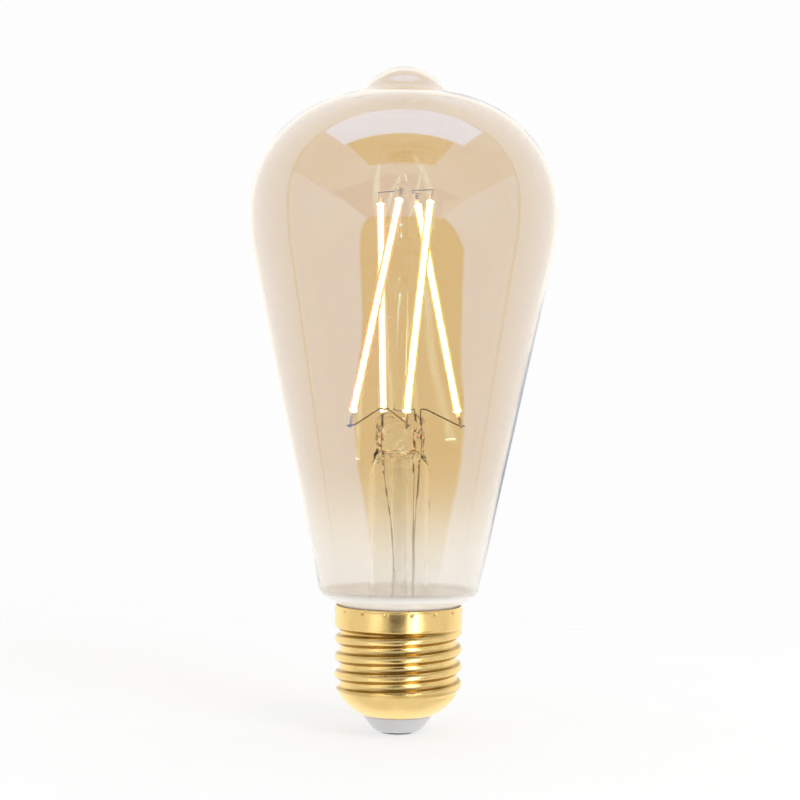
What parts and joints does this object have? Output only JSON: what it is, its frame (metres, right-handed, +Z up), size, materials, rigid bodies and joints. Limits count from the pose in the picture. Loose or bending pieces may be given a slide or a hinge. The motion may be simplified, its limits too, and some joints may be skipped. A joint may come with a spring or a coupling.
{
  "type": "smart light bulb",
  "caption": "Pear-shaped amber glass LED filament lamp on a gold Edison screw cap, with a radio-controlled driver sealed inside the cap",
  "frame": {"origin": "centre of the bottom face of the centre contact, on the lamp's axis, where the lamp meets its holder", "axes": "+Z runs up the lamp's axis from the contact to the glass tip; -Y faces the viewer; +X is the viewer's right"},
  "size_m": [0.064, 0.064, 0.1378],
  "materials": {
    "amber_glass": "clear blown glass with a thin amber tint that fades to clear towards the neck",
    "clear_glass": "clear lead glass, wavy where it was pressed and fused",
    "led_substrate": "smooth pale ceramic strip",
    "led_chip": "small polished chips",
    "phosphor_warm": "soft silicone loaded with phosphor, lit warm",
    "phosphor_cool": "soft silicone loaded with phosphor, lit cooler",
    "nickel": "drawn nickel wire and strip, satin",
    "tinned_copper": "drawn tinned wire, satin",
    "seal_alloy": "oxidised copper-clad sealing wire, dark red",
    "gold_shell": "rolled thin sheet, bright gold-coloured plating",
    "insulator_white": "moulded, smooth, off-white",
    "contact_metal": "pressed and tinned disc",
    "cement": "matt cured cement",
    "liner_plastic": "thin moulded liner",
    "board_green": "solder-masked glass-fibre board",
    "pin_gold": "square plated pins",
    "capacitor_sleeve": "shrink sleeve over an aluminium can",
    "black_rubber": "matt rubber bung",
    "ferrite": "fine-grained matt ferrite",
    "enamelled_copper": "enamelled copper wire",
    "chip_black": "moulded epoxy packages",
    "resistor_body": "flame-proof matt coating",
    "shield_can": "pressed tinplate",
    "capacitor_ceramic": "fired ceramic blocks",
    "sleeve_white": "thin plastic sleeve"
  },
  "bodies": {
    "root": {"glass_envelope": "amber_glass", "stem_flare": "clear_glass", "pinch_seal": "clear_glass", "exhaust_tube": "clear_glass", "support_post": "clear_glass", "post_button": "clear_glass", "filament_a_substrate": "led_substrate", "filament_b_substrate": "led_substrate", "filament_c_substrate": "led_substrate", "filament_d_substrate": "led_substrate", "filament_a_chips": "led_chip", "filament_b_chips": "led_chip", "filament_c_chips": "led_chip", "filament_d_chips": "led_chip", "filament_a_coating": "phosphor_warm", "filament_b_coating": "phosphor_warm", "filament_c_coating": "phosphor_cool", "filament_d_coating": "phosphor_cool", "filament_a_tabs": "nickel", "filament_b_tabs": "nickel", "filament_c_tabs": "nickel", "filament_d_tabs": "nickel", "common_outer_lead": "tinned_copper", "warm_outer_lead": "tinned_copper", "cool_outer_lead": "tinned_copper", "common_seal_wire": "seal_alloy", "warm_seal_wire": "seal_alloy", "cool_seal_wire": "seal_alloy", "common_inner_lead": "nickel", "common_branch_wire": "nickel", "warm_inner_lead": "nickel", "cool_inner_lead": "nickel", "left_head_link": "nickel", "right_head_link": "nickel", "screw_shell": "gold_shell", "cap_insulator": "insulator_white", "centre_contact": "contact_metal", "cap_cement": "cement", "insulating_liner": "liner_plastic", "power_board": "board_green", "radio_board": "board_green", "board_pins": "pin_gold", "bulk_capacitor": "capacitor_sleeve", "capacitor_bung": "black_rubber", "choke_core": "ferrite", "choke_winding": "enamelled_copper", "bridge_rectifier": "chip_black", "fuse_resistor": "resistor_body", "driver_chip": "chip_black", "channel_mosfets": "chip_black", "radio_module": "shield_can", "crystal": "shield_can", "chip_resistors": "chip_black", "chip_capacitors": "capacitor_ceramic", "antenna_wire": "enamelled_copper", "antenna_sleeve": "sleeve_white", "live_wire": "enamelled_copper", "neutral_wire": "enamelled_copper"}
  },
  "joints": []
}
